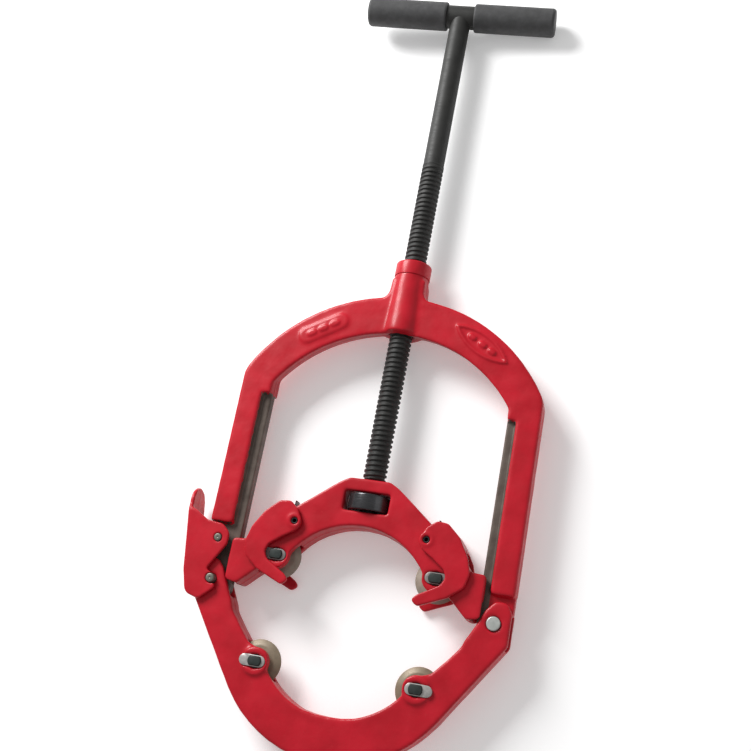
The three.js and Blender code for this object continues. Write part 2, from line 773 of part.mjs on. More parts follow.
function makeScrew() {
  const chamfer = 0.8;
  const profile = [
    [0, SCREW.bottom],
    [SCREW.spindleRadius - chamfer, SCREW.bottom],
    [SCREW.spindleRadius, SCREW.bottom + chamfer],
    [SCREW.spindleRadius, SCREW.spindleTop],
    [SCREW.radius - chamfer, SCREW.spindleTop],
    [SCREW.radius, SCREW.spindleTop + chamfer],
    [SCREW.radius, SCREW.threadTop],
    [SCREW.shankRadius, SCREW.threadTop + chamfer],
    [SCREW.shankRadius, SCREW.top],
    [0, SCREW.top],
  ].map(([radius, y]) => new THREE.Vector2(radius, y));
  const screw = toSolid(new THREE.LatheGeometry(profile, 32));
  return toGeometry(cut(screw, collarRod(COLLAR.pinRadius + GAP, COLLAR.radius)));
}

function makeCollar() {
  const ring = cut(
    rodY(COLLAR.radius, COLLAR.bottom, COLLAR.top, 32),
    rodY(SCREW.spindleRadius + GAP, COLLAR.bottom - PAST, COLLAR.top + PAST, 24),
    collarRod(COLLAR.pinRadius + GAP, COLLAR.radius + PAST),
  );
  return toGeometry(ring);
}

function makeHandleBar() {
  const reach = HANDLE.halfLength - GRIP.cap - GAP;
  const bar = rodX(HANDLE.barRadius, -reach, reach, HANDLE.y, 32);
  const socketFoot = HANDLE.y - HANDLE.barRadius - PAST;
  return toGeometry(cut(bar, rodY(SCREW.shankRadius + GAP, socketFoot, SCREW.top + GAP, 32)));
}

function makeGrip(side) {
  const start = HANDLE.middleHalf + GAP;
  const span = (a, b) => [Math.min(side * a, side * b), Math.max(side * a, side * b)];
  const [outer0, outer1] = span(start, HANDLE.halfLength);
  const [core0, core1] = span(start - PAST, HANDLE.halfLength - GRIP.cap);
  return toGeometry(
    cut(
      rodX(GRIP.radius, outer0, outer1, HANDLE.y, 32),
      rodX(HANDLE.barRadius + GAP, core0, core1, HANDLE.y, 32),
    ),
  );
}

addPiece('feed_screw', makeScrew(), BLACK_STEEL, screwGroup);
addPiece('thrust_collar', makeCollar(), BLACK_STEEL, screwGroup);
const collarPin = collarRod(COLLAR.pinRadius, COLLAR.radius - COLLAR.pinInset);
addPiece('collar_pin', toGeometry(collarPin), PIN_STEEL, screwGroup);
addPiece('handle_bar', makeHandleBar(), BLACK_STEEL, screwGroup);
addPiece('grip_left', makeGrip(-1), GRIP_RUBBER, screwGroup);
addPiece('grip_right', makeGrip(1), GRIP_RUBBER, screwGroup);

// ---- lay the tool on its back, with the origin under the middle of its box ----

tool.updateMatrixWorld(true);
const bounds = new THREE.Box3().setFromObject(tool, true);
const middle = bounds.getCenter(new THREE.Vector3());
tool.position.set(-middle.x, -middle.y, -bounds.min.z);

const model = new THREE.Group();
model.add(tool);

export default model;
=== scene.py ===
"""Looks of the hinged four-wheel pipe cutter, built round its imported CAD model.

Shapes are worked out in the tool's own axes, in millimetres: X across the tool, Y along the feed
screw towards the handle, Z out of the front face, with the origin on the screw's axis and level
with the hinge pin. Castings are the CAD solids with cast edges and skin, and turned and pressed
pieces are made new.
"""

import json
import math

import bmesh
import bpy
import numpy as np
from mathutils import Matrix, Vector, noise


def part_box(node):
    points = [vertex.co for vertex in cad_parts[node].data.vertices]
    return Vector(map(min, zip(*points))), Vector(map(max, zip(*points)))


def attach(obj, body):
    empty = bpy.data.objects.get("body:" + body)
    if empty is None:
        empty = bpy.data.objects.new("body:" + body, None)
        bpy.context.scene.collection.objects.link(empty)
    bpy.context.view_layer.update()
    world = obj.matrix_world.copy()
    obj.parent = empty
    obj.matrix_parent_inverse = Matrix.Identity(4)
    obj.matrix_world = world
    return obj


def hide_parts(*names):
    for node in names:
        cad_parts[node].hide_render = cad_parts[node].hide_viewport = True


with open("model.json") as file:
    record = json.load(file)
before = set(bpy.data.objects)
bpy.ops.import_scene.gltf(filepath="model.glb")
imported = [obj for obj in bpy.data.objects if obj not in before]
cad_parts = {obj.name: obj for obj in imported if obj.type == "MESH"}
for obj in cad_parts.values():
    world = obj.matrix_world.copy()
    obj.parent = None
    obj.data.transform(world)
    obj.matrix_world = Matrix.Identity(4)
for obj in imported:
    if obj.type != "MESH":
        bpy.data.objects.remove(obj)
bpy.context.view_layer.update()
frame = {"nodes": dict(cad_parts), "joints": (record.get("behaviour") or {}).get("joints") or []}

MM = 0.001

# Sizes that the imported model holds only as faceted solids, in millimetres.
RAIL_TOP = 151.0
RAIL_HALF = 4.5
RIB_INNER = 102.15
LEFT_RIB_END = 44.0
RIGHT_RIB_END = 20.5
FRAME_HALF = 10.0
ARCH_CENTRE = 102.0
HUB_TOP = 262.7
NUT_RADIUS = 11.3
SCREW_RADIUS = 9.0
THREAD_ROOT = 7.8
LEAD = 4.0
SHANK_RADIUS = 8.7
SPINDLE_RADIUS = 6.5
THREAD_START = 93.0
THREAD_TOP = 364.0
HANDLE_BAR_RADIUS = 9.9
KEEPER_HALF = 4.2
WHEEL_PIN_RADIUS = 5.0
HEAD_HALF = 3.2
HEAD_EDGE = 0.45
WHEEL_BORE = 5.4
CLEARANCE = 0.3
EDGE = 0.4  # rounding of a plate's edges
TINY = 1e-6

NODES = frame["nodes"]
JOINT = {joint["name"]: Vector(joint["pos_m"]) for joint in frame["joints"] if "pos_m" in joint}
ORIGIN = Vector((JOINT["screw_spin"].x, JOINT["lower_hinge"].y, JOINT["lower_hinge"].z))
SIDES = {"left": -1, "right": 1}


def tool_box(node):
    """Lowest and highest corner of a CAD node, in the tool's axes, in millimetres."""
    low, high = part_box(node)
    return (low - ORIGIN) / MM, (high - ORIGIN) / MM


def tool_point(joint):
    return (JOINT[joint] - ORIGIN) / MM


# ---- materials ----


# Places of the colour sockets on a Mix node.
MIX_SHARE, MIX_FIRST, MIX_SECOND, MIX_RESULT = 0, 6, 7, 2


class Shader:
    """A small builder for one procedural material."""

    def __init__(self, name):
        self.material = bpy.data.materials.new(name)
        self.material.use_nodes = True
        self.nodes = self.material.node_tree.nodes
        self.links = self.material.node_tree.links
        self.bsdf = self.nodes["Principled BSDF"]
        self.place = self.nodes.new("ShaderNodeTexCoord").outputs["Object"]
        self.height = None

    def set(self, **values):
        for name, value in values.items():
            self.bsdf.inputs[name.replace("_", " ")].default_value = value

    def plug(self, socket, value):
        if isinstance(value, bpy.types.NodeSocket):
            self.links.new(value, socket)
        else:
            socket.default_value = value

    def stretched(self, x, y, z):
        """Object coordinates, scaled along each axis."""
        node = self.nodes.new("ShaderNodeMapping")
        node.inputs["Scale"].default_value = (x, y, z)
        self.links.new(self.place, node.inputs["Vector"])
        return node.outputs["Vector"]

    def noise(self, wavelength_mm, detail=3.0, roughness=0.5, vector=None):
        node = self.nodes.new("ShaderNodeTexNoise")
        node.inputs["Scale"].default_value = 1 / (wavelength_mm * MM)
        node.inputs["Detail"].default_value = detail
        node.inputs["Roughness"].default_value = roughness
        self.links.new(vector or self.place, node.inputs["Vector"])
        return node.outputs["Fac"]

    def math(self, operation, first, second=0.0):
        node = self.nodes.new("ShaderNodeMath")
        node.operation = operation
        self.plug(node.inputs[0], first)
        self.plug(node.inputs[1], second)
        return node.outputs[0]

    def span(self, value, low, high, to_low=0.0, to_high=1.0):
        """Value mapped from low..high to to_low..to_high, held at both ends."""
        node = self.nodes.new("ShaderNodeMapRange")
        self.plug(node.inputs["Value"], value)
        node.inputs["From Min"].default_value = low
        node.inputs["From Max"].default_value = high
        node.inputs["To Min"].default_value = to_low
        node.inputs["To Max"].default_value = to_high
        return node.outputs["Result"]

    def blend(self, share, first, second):
        """Colour from first to second as share goes from 0 to 1."""
        node = self.nodes.new("ShaderNodeMix")
        node.data_type = "RGBA"
        self.plug(node.inputs[MIX_SHARE], share)
        self.plug(node.inputs[MIX_FIRST], first)
        self.plug(node.inputs[MIX_SECOND], second)
        return node.outputs[MIX_RESULT]

    def colour(self, value):
        self.plug(self.bsdf.inputs["Base Color"], value)

    def rough(self, value):
        self.plug(self.bsdf.inputs["Roughness"], value)

    def bump(self, height, depth_mm):
        """Adds a bump of the given depth on top of the ones before it."""
        node = self.nodes.new("ShaderNodeBump")
        node.inputs["Distance"].default_value = depth_mm * MM
        self.links.new(height, node.inputs["Height"])
        if self.height is not None:
            self.links.new(self.height, node.inputs["Normal"])
        self.height = node.outputs["Normal"]
        self.links.new(self.height, self.bsdf.inputs["Normal"])

    def axis(self, index):
        """One object coordinate, in the tool's axes and in millimetres."""
        node = self.nodes.new("ShaderNodeSeparateXYZ")
        self.links.new(self.place, node.inputs[0])
        shifted = self.math("SUBTRACT", node.outputs[index], ORIGIN[index])
        return self.math("MULTIPLY", shifted, 1 / MM)


# Two shades of each finish, which stains and marks move between.
PAINT_DEEP = (0.43, 0.0075, 0.017, 1)
PAINT_BRIGHT = (0.53, 0.0105, 0.024, 1)
PAINT_THIN = (0.50, 0.03, 0.035, 1)
RAIL_DARK = (0.095, 0.072, 0.060, 1)
RAIL_LIGHT = (0.20, 0.165, 0.14, 1)
RUBBER_DARK = (0.056, 0.056, 0.057, 1)
RUBBER_DUSTY = (0.078, 0.078, 0.079, 1)

# Bare edge of the ground rails: how far it wanders along and across the legs, in millimetres.
WANDER_ALONG = 2.4
WANDER_ACROSS = 0.3


def paint_colour(shader):
    """Enamel of uneven depth, with specks where it is thin."""
    clouds = shader.span(shader.noise(22, 4), 0.35, 0.65)
    base = shader.blend(clouds, PAINT_DEEP, PAINT_BRIGHT)
    specks = shader.span(shader.noise(2.2, 2), 0.66, 0.74, 0, 0.25)
    return shader.blend(specks, base, PAINT_THIN)


def paint_gloss(shader):
    return shader.span(shader.noise(9, 3), 0.3, 0.7, 0.34, 0.5)


def paint_skin(shader):
    """Gloss enamel with orange peel over a sand-cast surface."""
    shader.set(Coat_Weight=0.2, Coat_Roughness=0.18, Specular_IOR_Level=0.15)
    shader.bump(shader.noise(5.5, 3), 0.16)
    shader.bump(shader.noise(1.1, 2), 0.025)


def red_paint():
    shader = Shader("red_enamel")
    shader.colour(paint_colour(shader))
    shader.rough(paint_gloss(shader))
    paint_skin(shader)
    return shader.material


def frame_paint():
    """Red enamel, with the ground rails and the left tongue left bare."""
    shader = Shader("red_enamel_and_bare_rails")
    wobble = shader.span(shader.noise(3.5, 2), 0.3, 0.7, -0.5, 0.5)
    x = shader.axis(0)
    y = shader.math("ADD", shader.axis(1), shader.math("MULTIPLY", wobble, WANDER_ALONG))
    distance = shader.math("ABSOLUTE", x)
    across = shader.math("ADD", distance, shader.math("MULTIPLY", wobble, WANDER_ACROSS))
    beside_rib = shader.math("LESS_THAN", across, RIB_INNER)
    under_arch = shader.math("LESS_THAN", y, RAIL_TOP)
    rail = shader.math("MULTIPLY", beside_rib, under_arch)
    on_left = shader.math("LESS_THAN", x, 0)
    tongue = shader.math("MULTIPLY", on_left, shader.math("LESS_THAN", y, LEFT_RIB_END))
    bare = shader.math("MAXIMUM", rail, tongue)
    strokes = shader.noise(1.0, 4, 0.6, shader.stretched(1.0, 0.05, 1.0))
    stains = shader.span(shader.noise(14, 4), 0.35, 0.65)
    ground = shader.blend(shader.math("MULTIPLY", strokes, stains), RAIL_DARK, RAIL_LIGHT)
    shader.colour(shader.blend(bare, paint_colour(shader), ground))
    shader.plug(shader.bsdf.inputs["Metallic"], shader.math("MULTIPLY", bare, 0.3))
    gloss = paint_gloss(shader)
    shader.rough(shader.math("ADD", gloss, shader.math("MULTIPLY", bare, 0.08)))
    paint_skin(shader)
    return shader.material


ALONG_Y, ALONG_Z = 1, 2

# One steel finish each: its darkest and lightest colour, its roughness, the axis that it was
# turned round, the size of its stains in millimetres, how metallic it is and its gloss.
STEELS = {
    "black_oxide_steel": {
        "dark": (0.022, 0.022, 0.021, 1), "light": (0.040, 0.040, 0.038, 1),
        "rough": 0.55, "turned": ALONG_Y, "stain_mm": 9, "metallic": 0.2, "gloss": 0.35,
    },
    "polished_black_steel": {
        "dark": (0.045, 0.045, 0.048, 1), "light": (0.085, 0.085, 0.09, 1),
        "rough": 0.24, "turned": ALONG_Y, "stain_mm": 9, "metallic": 0.7,
    },
    "bright_steel": {
        "dark": (0.40, 0.42, 0.40, 1), "light": (0.60, 0.62, 0.59, 1),
        "rough": 0.34, "turned": ALONG_Z, "stain_mm": 4, "metallic": 0.4,
    },
    "turned_pin_steel": {
        "dark": (0.11, 0.105, 0.085, 1), "light": (0.24, 0.225, 0.19, 1),
        "rough": 0.42, "turned": ALONG_Z, "stain_mm": 3, "metallic": 0.5,
    },
    "blackened_spring_steel": {
        "dark": (0.014, 0.014, 0.015, 1), "light": (0.04, 0.04, 0.042, 1),
        "rough": 0.4, "turned": ALONG_Z, "stain_mm": 3, "metallic": 0.5,
    },
    "straw_wheel_steel": {
        "dark": (0.17, 0.13, 0.085, 1), "light": (0.31, 0.255, 0.18, 1),
        "rough": 0.5, "stain_mm": 7, "metallic": 0.25,
    },
    "grey_wheel_steel": {
        "dark": (0.23, 0.19, 0.15, 1), "light": (0.39, 0.335, 0.27, 1),
        "rough": 0.5, "stain_mm": 7, "metallic": 0.25,
    },
    "blackened_pin_steel": {
        "dark": (0.016, 0.023, 0.021, 1), "light": (0.035, 0.046, 0.042, 1),
        "rough": 0.45, "stain_mm": 3, "metallic": 0.3,
    },
    "keeper_steel": {
        "dark": (0.32, 0.31, 0.295, 1), "light": (0.54, 0.52, 0.50, 1),
        "rough": 0.36, "stain_mm": 3, "metallic": 0.4,
    },
    # A darker copy of the keeper steel for the upper row: painted shade where the guides overhang
    # those keepers.
    "guide_shaded_keeper_steel": {
        "dark": (0.17, 0.155, 0.15, 1), "light": (0.32, 0.29, 0.28, 1),
        "rough": 0.42, "stain_mm": 3, "metallic": 0.4,
    },
}
PLAIN_GLOSS = 0.5
ROUND_STRETCH = 0.12  # scale of the marks across a turned piece, which makes rings of them


def steel(name):
    """Steel with stains and fine tool marks, which run in rings round a turned piece."""
    look = STEELS[name]
    shader = Shader(name)
    shader.set(Metallic=look["metallic"], Specular_IOR_Level=look.get("gloss", PLAIN_GLOSS))
    stretch = [1, 1, 1]
    if "turned" in look:
        stretch = [ROUND_STRETCH] * 3
        stretch[look["turned"]] = 1
    marks = shader.noise(0.7, 3, 0.6, shader.stretched(*stretch))
    stains = shader.span(shader.noise(look["stain_mm"], 4), 0.3, 0.7)
    fine = shader.math("MULTIPLY", marks, 0.4)
    broad = shader.math("MULTIPLY", stains, 0.6)
    shader.colour(shader.blend(shader.math("ADD", fine, broad), look["dark"], look["light"]))
    shader.rough(shader.span(marks, 0.3, 0.7, look["rough"] - 0.08, look["rough"] + 0.1))
    shader.bump(marks, 0.02)
    return shader.material


def grip_rubber():
    """Matt black rubber with a little dust on it."""
    shader = Shader("grip_rubber")
    dust = shader.span(shader.noise(7, 5, 0.6), 0.4, 0.75)
    shader.colour(shader.blend(dust, RUBBER_DARK, RUBBER_DUSTY))
    shader.set(Specular_IOR_Level=0.25)
    shader.rough(shader.span(shader.noise(3, 3), 0.3, 0.7, 0.55, 0.72))
    shader.bump(shader.noise(0.6, 2), 0.03)
    shader.bump(shader.noise(6, 2), 0.1)
    return shader.material


# ---- mesh helpers ----


def link(name, mesh):
    piece = bpy.data.objects.new(name, mesh)
    bpy.context.scene.collection.objects.link(piece)
    return piece


def to_row(mesh):
    """Moves a mesh from the tool's axes in millimetres to the row frame in metres."""
    mesh.transform(Matrix.Translation(ORIGIN) @ Matrix.Scale(MM, 4))


def soften(mesh, degrees):
    """Smooth shading, except over edges sharper than the given angle."""
    for polygon in mesh.polygons:
        polygon.use_smooth = True
    mesh.set_sharp_from_angle(angle=math.radians(degrees))


def finish_piece(name, mesh, material, body, slot, *nodes, sharp=35):
    """Adds a mesh that is in the tool's axes as a piece riding on a body."""
    to_row(mesh)
    soften(mesh, sharp)
    mesh.materials.append(material)
    piece = link(name, mesh)
    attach(piece, body)
    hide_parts(*nodes)


def rounded(corners, steps=4):
    """Open line through corners (a, b, radius), with each corner rounded."""
    points = []
    for i, corner in enumerate(corners):
        radius = corner[2] if len(corner) > 2 else 0
        here = Vector(corner[:2])
        if radius <= 0 or i in (0, len(corners) - 1):
            points.append(here)
            continue
        back = Vector(corners[i - 1][:2]) - here
        ahead = Vector(corners[i + 1][:2]) - here
        half = back.angle(ahead) / 2
        cut = min(radius / math.tan(half), 0.49 * back.length, 0.49 * ahead.length)
        start = here + back.normalized() * cut
        end = here + ahead.normalized() * cut
        for step in range(steps + 1):
            t = step / steps
            points.append(start.lerp(here, t).lerp(here.lerp(end, t), t))
    return points


# Turns a lathe's own axis, Z, onto each axis of the tool.
AXES = {
    "X": Matrix(((0, 0, 1), (0, 1, 0), (-1, 0, 0))).to_4x4(),
    "Y": Matrix(((1, 0, 0), (0, 0, 1), (0, -1, 0))).to_4x4(),
    "Z": Matrix.Identity(4),
}


def lathe(corners, axis="Z", centre=(0, 0, 0), segments=64, closed=False, steps=4):
    """Solid of revolution. Corners are (radius, height, corner radius), bottom to top."""
    line = rounded(corners, steps)
    mesh = bpy.data.meshes.new("lathe")
    shape = bmesh.new()
    rings = []
    for radius, height in line:
        if radius < TINY:
            rings.append([shape.verts.new((0, 0, height))])
            continue
        ring = []
        for i in range(segments):
            angle = 2 * math.pi * i / segments
            x, y = radius * math.cos(angle), radius * math.sin(angle)
            ring.append(shape.verts.new((x, y, height)))
        rings.append(ring)
    pairs = list(zip(rings, rings[1:]))
    if closed:
        pairs.append((rings[-1], rings[0]))
    for low, high in pairs:
        for i in range(segments):
            j = (i + 1) % segments
            below = [low[i % len(low)], low[j % len(low)]]
            above = [high[j % len(high)], high[i % len(high)]]
            face = list(dict.fromkeys(below + above))  # a ring on the axis is a single vertex
            if len(face) > 2:
                shape.faces.new(face)
    bmesh.ops.recalc_face_normals(shape, faces=shape.faces)
    shape.to_mesh(mesh)
    shape.free()
    mesh.transform(Matrix.Translation(centre) @ AXES[axis])
    orient(mesh)
    return mesh


def orient(mesh):
    """Faces of a closed mesh point out."""
    shape = bmesh.new()
    shape.from_mesh(mesh)
    bmesh.ops.recalc_face_normals(shape, faces=shape.faces)
    if shape.calc_volume(signed=True) < 0:
        bmesh.ops.reverse_faces(shape, faces=shape.faces)
    shape.to_mesh(mesh)
    shape.free()


def slab(outline, z0, z1, edge=EDGE, segments=3):
    """Flat plate with rounded edges. The outline is a list of (x, y)."""
    mesh = bpy.data.meshes.new("slab")
    shape = bmesh.new()
    base = shape.faces.new([shape.verts.new((x, y, z0)) for x, y in outline])
    result = bmesh.ops.extrude_face_region(shape, geom=[base])
    top = [v for v in result["geom"] if isinstance(v, bmesh.types.BMVert)]
    bmesh.ops.translate(shape, verts=top, vec=(0, 0, z1 - z0))
    rims = [e for e in shape.edges if abs(e.verts[0].co.z - e.verts[1].co.z) < TINY]
    bmesh.ops.bevel(shape, geom=rims, offset=edge, segments=segments, profile=0.5, affect="EDGES")
    shape.to_mesh(mesh)
    shape.free()
    orient(mesh)
    return mesh


def pill(x0, x1, half_height, steps=12):
    """Outline of a plate with round ends, along X."""
    points = []
    for centre, start in ((x1 - half_height, -90), (x0 + half_height, 90)):
        for step in range(steps + 1):
            angle = math.radians(start + 180 * step / steps)
            points.append((centre + half_height * math.cos(angle), half_height * math.sin(angle)))
    return points


def merge(*meshes):
    """Several meshes as one."""
    shape = bmesh.new()
    for mesh in meshes:
        shape.from_mesh(mesh)
    mesh = bpy.data.meshes.new("merged")
    shape.to_mesh(mesh)
    shape.free()
    return mesh


def tube(points, radius, sides=10, closed=False):
    """Round wire along a list of points; a closed one runs back into its start."""
    mesh = bpy.data.meshes.new("tube")
    shape = bmesh.new()
    rings = []
    normal = Vector((0, 0, 1))
    last = len(points) - 1
    for i, point in enumerate(points):
        after = points[(i + 1) % len(points)] if closed else points[min(i + 1, last)]
        before = points[i - 1] if closed else points[max(i - 1, 0)]
        ahead = (after - before).normalized()
        normal = (normal - ahead * normal.dot(ahead)).normalized()
        side = ahead.cross(normal)
        ring = []
        for k in range(sides):
            angle = 2 * math.pi * k / sides
            offset = normal * math.cos(angle) + side * math.sin(angle)
            ring.append(shape.verts.new(point + offset * radius))
        rings.append(ring)
    pairs = list(zip(rings, rings[1:]))
    if closed:
        pairs.append((rings[-1], rings[0]))
    for low, high in pairs:
        for k in range(sides):
            n = (k + 1) % sides
            shape.faces.new((low[k], low[n], high[n], high[k]))
    if not closed:
        shape.faces.new(list(reversed(rings[0])))
        shape.faces.new(rings[-1])
    shape.to_mesh(mesh)
    shape.free()
    orient(mesh)
    return mesh


# ---- castings ----

SEAM_HEIGHT = 0.3
SEAM_HALF = 0.9
FIRST_ROUNDS = 2  # of relaxing, all over, to take off the grid's steps
WAVE_HEIGHT = 0.18
WAVE_LENGTH = 11.0

# Where a casting is rounded less: share 0 keeps an edge, 1 rounds it fully.
LOW_SHARE = 0.3
RAIL_MARGIN = 0.3
PAD_RISE = 0.12
PAD_START = 30
SEAT_DEPTH = 3
CLEVIS_REACH = 20.0
CLEVIS_HALF = 5.6
LATCH_WEB = [(-9.0, -127.6), (3.0, -131.8), (50.0, -139.0), (69.0, -140.6)]  # y and x
BEND_REACH = 3.0

# Raised pads on the arch: the angle from the screw and the radius from the arch's centre, the
# outline's half length and half height, and where its lumps start, their length and half
# height and their rise. The right pad has a rim of its own radius, lifted off the face.
PAD_FOOT = FRAME_HALF - 2
PAD_TOP = FRAME_HALF + 1.1
LEFT_PAD = {
    "angle": -29.9, "radius": 123.5, "half": (21, 6.6),
    "starts": (-14, -4, 6), "lump": (8, 2.2), "rise": 0.9,
}
RIGHT_PAD = {
    "angle": 32.1, "radius": 126.0, "half": (25, 7.5), "rim": 1.3, "lift": 0.4,
    "starts": (-13, -2.5, 7), "lump": (7, 1.9), "rise": 0.6,
}
BOSS = {"bore": 2.8, "radius": 5.6, "depth": 2, "rise": 0.5}
NUT_SEAT = HUB_TOP - 1.0  # the collar's underside, a little inside the hub's top


def cad_mesh(node):
    """Copy of a CAD node's mesh, in the tool's axes."""
    mesh = NODES[node].data.copy()
    mesh.materials.clear()
    mesh.transform(Matrix.Scale(1 / MM, 4) @ Matrix.Translation(-ORIGIN))
    return mesh


def remeshed(mesh, voxel):
    """The union of a mesh's solids as an even grid of faces."""
    source = link("remesh_source", mesh)
    modifier = source.modifiers.new("remesh", "REMESH")
    modifier.mode = "VOXEL"
    modifier.voxel_size = voxel
    bpy.context.view_layer.update()
    graph = bpy.context.evaluated_depsgraph_get()
    result = bpy.data.meshes.new_from_object(source.evaluated_get(graph))
    bpy.data.objects.remove(source)
    return result


def relax(mesh, rounds, share=None):
    """Rounds off a fine mesh by moving each vertex towards its neighbours.

    Share gives 0 to 1 for each point: how far it is moved.
    """
    count = len(mesh.vertices)
    points = np.empty(count * 3)
    mesh.vertices.foreach_get("co", points)
    points = points.reshape(count, 3)
    edges = np.empty(len(mesh.edges) * 2, int)
    mesh.edges.foreach_get("vertices", edges)
    first, second = edges.reshape(-1, 2).T
    degree = np.bincount(first, minlength=count) + np.bincount(second, minlength=count)
    weight = 0.5 * (np.ones(count) if share is None else share(points))
    for _ in range(rounds):
        mean = np.empty_like(points)
        for axis in range(3):
            values = points[:, axis]
            total = np.bincount(first, values[second], count)
            total = total + np.bincount(second, values[first], count)
            mean[:, axis] = total / degree
        points += weight[:, None] * (mean - points)
    mesh.vertices.foreach_set("co", points.ravel())
    mesh.update()


def roughen(mesh, height, wavelength, share=None):
    """Slow waves of a sand casting and the low seam where its mould parted, at z = 0."""
    points = np.array([v.co for v in mesh.vertices])
    normals = np.array([v.normal for v in mesh.vertices])
    rise = height * np.array([noise.noise(Vector(p) / wavelength) for p in points])
    upright = 1 - np.abs(normals[:, 2])
    rise += SEAM_HEIGHT * upright * np.exp(-(points[:, 2] / SEAM_HALF) ** 2)
    if share is not None:
        rise *= share(points)
    points += normals * rise[:, None]
    mesh.vertices.foreach_set("co", points.ravel())
    mesh.update()


def casting(node, body, material, voxel, rounds, extra=(), share=None):
    """A CAD solid, with what is cast on it, as one surface with cast edges and skin."""
    mesh = cad_mesh(node)
    if extra:
        mesh = merge(mesh, *extra)
    mesh = remeshed(mesh, voxel)
    relax(mesh, FIRST_ROUNDS)
    relax(mesh, rounds, share)
    roughen(mesh, WAVE_HEIGHT, WAVE_LENGTH, share)
    finish_piece(f"{node}_casting", mesh, material, body, "red_paint", node, sharp=60)


def off_rails(points):
    """0 on the ground rails and tongues, low on the pads and the nut's seat, 1 elsewhere."""
    x, y, z = np.abs(points[:, 0]), points[:, 1], np.abs(points[:, 2])
    rib_end = np.where(points[:, 0] < 0, LEFT_RIB_END, RIGHT_RIB_END)
    thin = z < RAIL_HALF + RAIL_MARGIN
    rail = thin & (x < RIB_INNER + RAIL_MARGIN) & (y < RAIL_TOP)
    tongue = thin & (y < rib_end)
    pad = (points[:, 2] > FRAME_HALF + PAD_RISE) & (x > PAD_START) & (y > RAIL_TOP)
    seat = y > HUB_TOP - SEAT_DEPTH
    return np.where(rail | tongue, 0.0, np.where(pad | seat, LOW_SHARE, 1.0))


def off_clevis(points):
    """0 in the milled slot that the hinge tongue turns in, 1 on the rest."""
    hinge = tool_point("lower_hinge")
    reach = np.hypot(points[:, 0] - hinge.x, points[:, 1] - hinge.y)
    slot = (reach < CLEVIS_REACH) & (np.abs(points[:, 2]) < CLEVIS_HALF)
    return np.where(slot, 0.0, 1.0)


def latch_bend(points):
    """1 along the pressed lever's bends, beside its web, and low on its cut edges."""
    web = np.interp(points[:, 1], *np.array(LATCH_WEB).T)
    return np.where(points[:, 0] < web + BEND_REACH, 1.0, LOW_SHARE)


def on_arch(mesh, angle, radius):
    """Lays a mesh on the arch's front, at an angle from the screw."""
    turn = math.radians(angle)
    spot = Vector((math.sin(turn) * radius, ARCH_CENTRE + math.cos(turn) * radius, 0))
    mesh.transform(Matrix.Translation(spot) @ Matrix.Rotation(-turn, 4, "Z"))
    return mesh


def lozenge(half_length, half_height, steps=10):
    """Outline with two round sides that meet in points, along X."""
    radius = (half_length ** 2 + half_height ** 2) / (2 * half_height)
    reach = math.asin(half_length / radius)
    points = []
    for sign in (-1, 1):
        for step in range(steps):
            angle = -reach + 2 * reach * step / steps
            x = radius * math.sin(angle)
            y = radius * math.cos(angle) - (radius - half_height)
            points.append((-sign * x, sign * y))
    return points


def raised_rim(outline, radius, z):
    """Round bead along a closed outline."""
    return tube([Vector((x, y, z)) for x, y in outline], radius, 8, closed=True)


def pad_with_lumps(pad, base):
    """A pad's base and its lumps, laid on the arch."""
    length, half = pad["lump"]
    meshes = [base]
    for start in pad["starts"]:
        meshes.append(slab(pill(start, start + length, half), PAD_FOOT, PAD_TOP + pad["rise"]))
    return [on_arch(mesh, pad["angle"], pad["radius"]) for mesh in meshes]


def arch_pads():
    """Plain raised pads where such castings carry their marks."""
    half_length, half_height = LEFT_PAD["half"]
    plate = slab(pill(-half_length, half_length, half_height), PAD_FOOT, PAD_TOP)
    rim = raised_rim(lozenge(*RIGHT_PAD["half"]), RIGHT_PAD["rim"], FRAME_HALF + RIGHT_PAD["lift"])
    return pad_with_lumps(LEFT_PAD, plate) + pad_with_lumps(RIGHT_PAD, rim)


def pivot_bosses(joint):
    """Low round boss round a guide's pin, on both cheeks."""
    point = tool_point(joint)
    half = tool_box("guide_left")[1].z + BOSS["rise"]
    bore, radius = BOSS["bore"], BOSS["radius"]
    rings = []
    for sign in (-1, 1):
        inner, outer = sign * (half - BOSS["depth"]), sign * half
        profile = [
            (bore, inner), (radius, inner, 0.2), (radius, outer, 0.4),
            (bore, outer, 0.2), (bore, inner),
        ]
        rings.append(lathe(profile, "Z", (point.x, point.y, 0), 40))
    return rings


def feed_nut():
    """Bush with a collar, which stands on the hub."""
    low, high = tool_box("feed_nut")
    bore = SCREW_RADIUS + CLEARANCE
    profile = [
        (bore, low.y, 0.4), (NUT_RADIUS, low.y, 0.6), (NUT_RADIUS, NUT_SEAT, 0),
        (high.x, NUT_SEAT, 0.25), (high.x, high.y, 1.6), (bore, high.y, 0.6),
        (bore, low.y + 1, 0),
    ]
    return lathe(profile, "Y", closed=True)


def make_castings():
    red = red_paint()
    frame_red = frame_paint()
    pads = arch_pads()
    casting("main_frame", "frame", frame_red, voxel=0.8, rounds=16, extra=pads, share=off_rails)
    casting("lower_frame", "lower", red, voxel=0.75, rounds=18, share=off_clevis)
    casting("slide_yoke", "slide", red, voxel=0.7, rounds=14)
    casting("latch_lever", "latch", red, voxel=0.5, rounds=40, share=latch_bend)
    for word in SIDES:
        bosses = pivot_bosses(f"guide_{word}_swing")
        casting(f"guide_{word}", f"guide_{word}", red, voxel=0.5, rounds=16, extra=bosses)
    finish_piece("feed_nut_turned", feed_nut(), red, "frame", "red_paint", "feed_nut")


# ---- feed screw and T-handle ----

# Widths of the thread's crest and of one flank, as shares of the lead.
CREST_SHARE = 0.34
FLANK_SHARE = 0.16
LOWER_RUN_OUT = 3.0
UPPER_RUN_OUT = 6.0
RUN_OUT_START = 1.2  # the thread's first height over the spindle
RUN_OUT_RISE = 2.5

